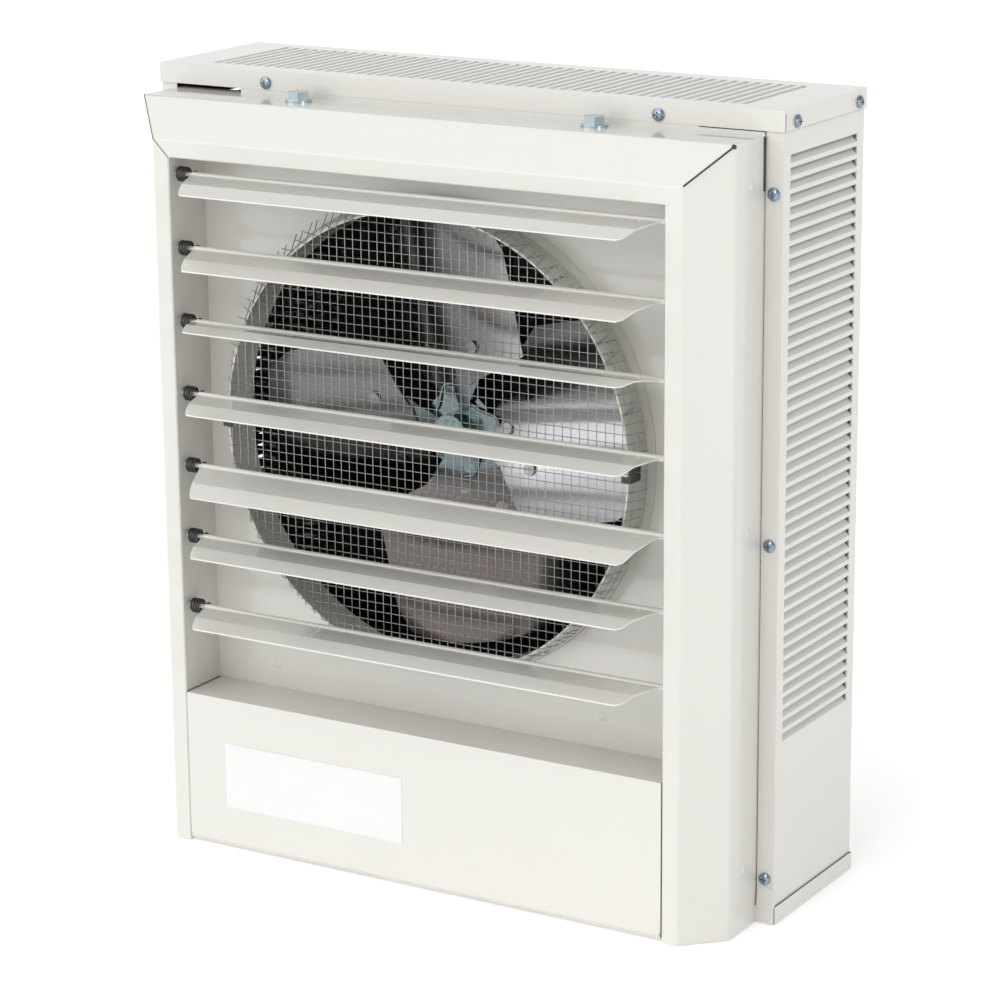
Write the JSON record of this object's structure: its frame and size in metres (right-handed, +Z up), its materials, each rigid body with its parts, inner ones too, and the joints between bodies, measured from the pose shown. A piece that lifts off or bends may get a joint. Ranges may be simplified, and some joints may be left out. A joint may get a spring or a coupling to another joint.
{
  "type": "unit heater",
  "caption": "Hanging electric unit heater: vented sheet cabinet, bevelled outlet frame with separately tilting louvres, guarded propeller fan, hinged wiring door.",
  "frame": {"origin": "middle of the heater's footprint, on the underside of the bottom pan", "axes": "+X to the right seen from the front, +Y to the back, +Z up; the louvres face -Y"},
  "size_m": [0.4852, 0.214, 0.541],
  "materials": {
    "cabinet_paint": "glossy warm off-white powder coat",
    "louver_paint": "glossy off-white powder coat",
    "zinc": "bright zinc plate",
    "galvanised_wire": "galvanised wire cloth",
    "black_steel": "black oxide",
    "blade_aluminium": "mill finish",
    "motor_paint": "satin black",
    "motor_steel": "ground steel",
    "bearing_bronze": "sintered bronze",
    "galvanised_sheet": "galvanised sheet",
    "element_steel": "heat-tinted steel",
    "ceramic": "glazed ceramic",
    "black_plastic": "moulded",
    "transformer_iron": "varnished laminations",
    "lug_brass": "bright",
    "blank_film": "plain white film"
  },
  "bodies": {
    "cabinet": {"top_cover": "cabinet_paint", "left_side_panel": "cabinet_paint", "right_side_panel": "cabinet_paint", "bottom_pan": "cabinet_paint", "rear_panel": "cabinet_paint", "frame_top_rail": "cabinet_paint", "frame_left_stile": "cabinet_paint", "frame_right_stile": "cabinet_paint", "frame_bottom_rail": "cabinet_paint", "orifice_plate": "cabinet_paint", "venturi_ring": "cabinet_paint", "cover_screws": "zinc", "flange_screws": "zinc", "rear_panel_screws": "zinc", "hanger_bolts": "zinc", "hanger_washers": "zinc", "hanger_nuts": "zinc", "motor_bracket_screws": "zinc", "door_hinge_pin": "zinc", "fan_guard": "galvanised_wire", "guard_skirt": "galvanised_wire", "louver_springs": "black_steel", "guard_clips": "black_steel", "motor_housing": "motor_paint", "motor_front_bell": "motor_paint", "motor_rear_bell": "motor_paint", "motor_stator": "motor_steel", "motor_bearings": "bearing_bronze", "motor_bracket": "galvanised_sheet", "element_straps": "galvanised_sheet", "control_shelf": "galvanised_sheet", "heating_element_1": "element_steel", "heating_element_2": "element_steel", "heating_element_3": "element_steel", "heating_element_4": "element_steel", "element_bushings": "ceramic", "terminal_block": "black_plastic", "contactor": "black_plastic", "thermal_cutout": "black_plastic", "control_transformer": "transformer_iron", "ground_lug": "lug_brass"},
    "fan": {"fan_blades": "blade_aluminium", "fan_spider": "zinc", "fan_hub": "zinc", "hub_set_screw": "zinc", "fan_rivets": "zinc", "motor_shaft": "motor_steel", "motor_rotor": "motor_steel"},
    "door": {"access_door": "cabinet_paint", "blank_label": "blank_film"},
    "louver_1": {"louver_1": "louver_paint"},
    "louver_2": {"louver_2": "louver_paint"},
    "louver_3": {"louver_3": "louver_paint"},
    "louver_4": {"louver_4": "louver_paint"},
    "louver_5": {"louver_5": "louver_paint"},
    "louver_6": {"louver_6": "louver_paint"},
    "louver_7": {"louver_7": "louver_paint"}
  },
  "joints": [
    {"name": "louver_1_tilt", "type": "hinge", "parent": "cabinet", "child": "louver_1", "pos_m": [0, -0.083, 0.4758], "axis": [1, 0, 0], "range_deg": [-35.1, 69.9]},
    {"name": "louver_2_tilt", "type": "hinge", "parent": "cabinet", "child": "louver_2", "pos_m": [0, -0.083, 0.4252], "axis": [1, 0, 0], "range_deg": [-36, 69]},
    {"name": "louver_3_tilt", "type": "hinge", "parent": "cabinet", "child": "louver_3", "pos_m": [0, -0.083, 0.3746], "axis": [1, 0, 0], "range_deg": [-22, 83]},
    {"name": "louver_4_tilt", "type": "hinge", "parent": "cabinet", "child": "louver_4", "pos_m": [0, -0.083, 0.324], "axis": [1, 0, 0], "range_deg": [-31.8, 73.2]},
    {"name": "louver_5_tilt", "type": "hinge", "parent": "cabinet", "child": "louver_5", "pos_m": [0, -0.083, 0.2734], "axis": [1, 0, 0], "range_deg": [-43.9, 61.1]},
    {"name": "louver_6_tilt", "type": "hinge", "parent": "cabinet", "child": "louver_6", "pos_m": [0, -0.083, 0.2228], "axis": [1, 0, 0], "range_deg": [-30.4, 74.6]},
    {"name": "louver_7_tilt", "type": "hinge", "parent": "cabinet", "child": "louver_7", "pos_m": [0, -0.083, 0.1722], "axis": [1, 0, 0], "range_deg": [-30.2, 74.8]},
    {"name": "fan_spin", "type": "hinge", "parent": "cabinet", "child": "fan", "pos_m": [0, -0.029, 0.3086], "axis": [0, 1, 0], "continuous": true},
    {"name": "door_swing", "type": "hinge", "parent": "cabinet", "child": "door", "pos_m": [0, -0.089, 0.0036], "axis": [1, 0, 0], "range_deg": [0, 90]}
  ]
}
